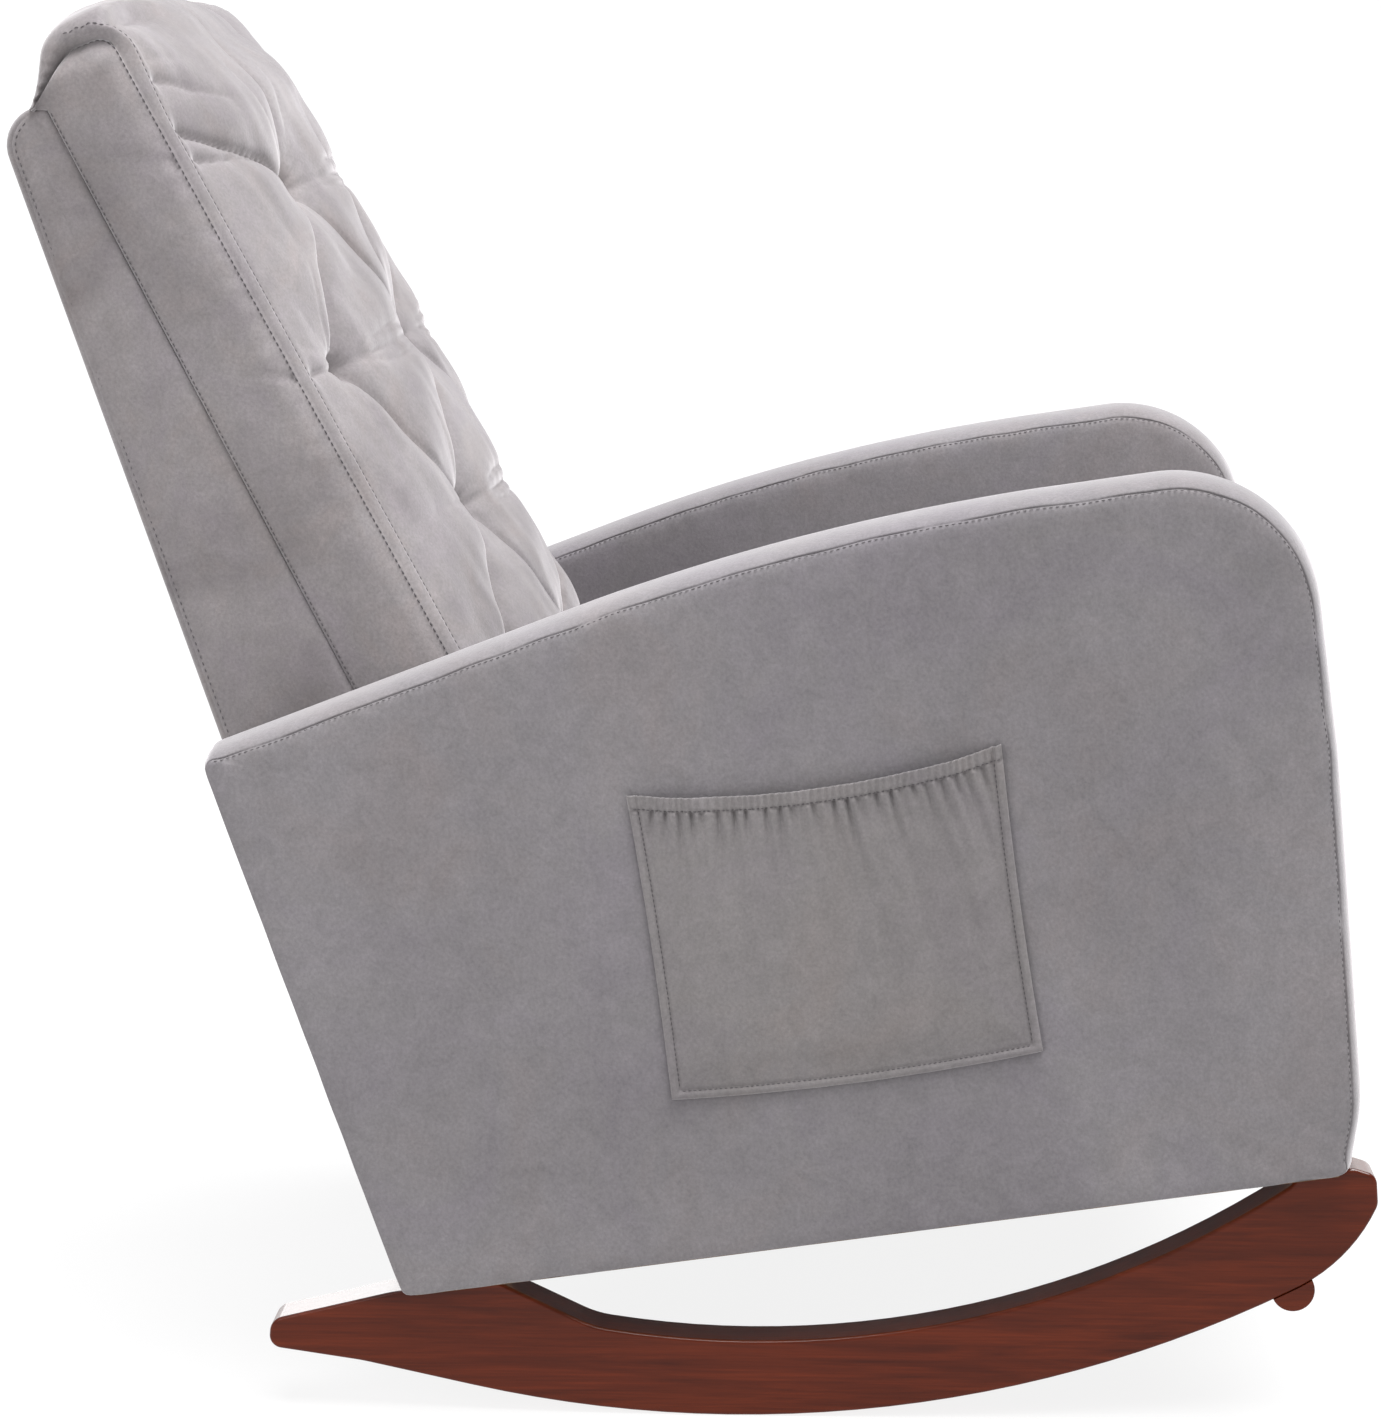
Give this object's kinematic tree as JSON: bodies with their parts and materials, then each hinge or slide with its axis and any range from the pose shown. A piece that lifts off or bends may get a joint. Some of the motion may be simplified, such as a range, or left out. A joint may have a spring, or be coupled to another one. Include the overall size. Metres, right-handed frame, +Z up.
{
  "type": "upholstered rocking chair",
  "caption": "Upholstered armchair on a pair of curved wooden runners, with a high tufted back, padded side panels and an elastic-topped side pocket.",
  "frame": {"origin": "on the floor, midway across the chair and midway between its frontmost and rearmost points", "axes": "+X across the chair towards the sitter's left, +Y towards the rear, +Z up; the chair leans back by 8.33 degrees, as it rests on its runners"},
  "size_m": [0.688, 0.9534, 0.9806],
  "materials": {
    "velvet": "matte",
    "velvet_gathered": "matte",
    "runner_wood": "satin",
    "frame_wood": "matte",
    "hardboard": "matte",
    "zinc_steel": "satin",
    "foam": "matte",
    "webbing": "matte",
    "twine": "matte",
    "dust_cloth": "matte"
  },
  "bodies": {
    "chair": {"arm_bottom_rail_left": "frame_wood", "arm_bottom_rail_right": "frame_wood", "arm_front_post_left": "frame_wood", "arm_front_post_right": "frame_wood", "arm_inner_board_left": "hardboard", "arm_inner_board_right": "hardboard", "arm_outer_board_left": "hardboard", "arm_outer_board_right": "hardboard", "arm_pad_left": "velvet", "arm_pad_right": "velvet", "arm_rear_post_left": "frame_wood", "arm_rear_post_right": "frame_wood", "arm_seat_rail_left": "frame_wood", "arm_seat_rail_right": "frame_wood", "arm_top_rail_left": "frame_wood", "arm_top_rail_right": "frame_wood", "back_bolts": "zinc_steel", "back_bottom_rail": "frame_wood", "back_buttons": "velvet", "back_cushion_cover": "velvet", "back_cushion_foam": "foam", "back_mid_rail": "frame_wood", "back_rear_board": "hardboard", "back_seat_rail": "frame_wood", "back_shell": "velvet", "back_side_board_left": "frame_wood", "back_side_board_right": "frame_wood", "back_tee_nuts": "zinc_steel", "back_top_rail": "frame_wood", "back_washers": "zinc_steel", "back_webbing": "webbing", "button_ties": "twine", "dust_cover": "dust_cloth", "front_apron": "velvet", "pocket_elastic_left": "velvet_gathered", "pocket_elastic_right": "velvet_gathered", "pocket_left": "velvet", "pocket_right": "velvet", "runner_bolts": "zinc_steel", "runner_left": "runner_wood", "runner_right": "runner_wood", "runner_tee_nuts": "zinc_steel", "runner_washers": "zinc_steel", "seat_bolts": "zinc_steel", "seat_corner_blocks": "frame_wood", "seat_deck": "webbing", "seat_front_rail": "frame_wood", "seat_rear_rail": "frame_wood", "seat_side_rail_left": "frame_wood", "seat_side_rail_right": "frame_wood", "seat_springs": "zinc_steel", "seat_tee_nuts": "zinc_steel", "seat_washers": "zinc_steel", "spring_clips": "zinc_steel", "stop_block_left": "runner_wood", "stop_block_right": "runner_wood"},
    "seat_cushion": {"seat_cushion_cover": "velvet", "seat_cushion_foam": "foam"}
  },
  "joints": [
    {"name": "seat_cushion_lift", "type": "slide", "parent": "chair", "child": "seat_cushion", "axis": [0, 0.1449, 0.9895], "range_m": [0, 0.36]}
  ]
}
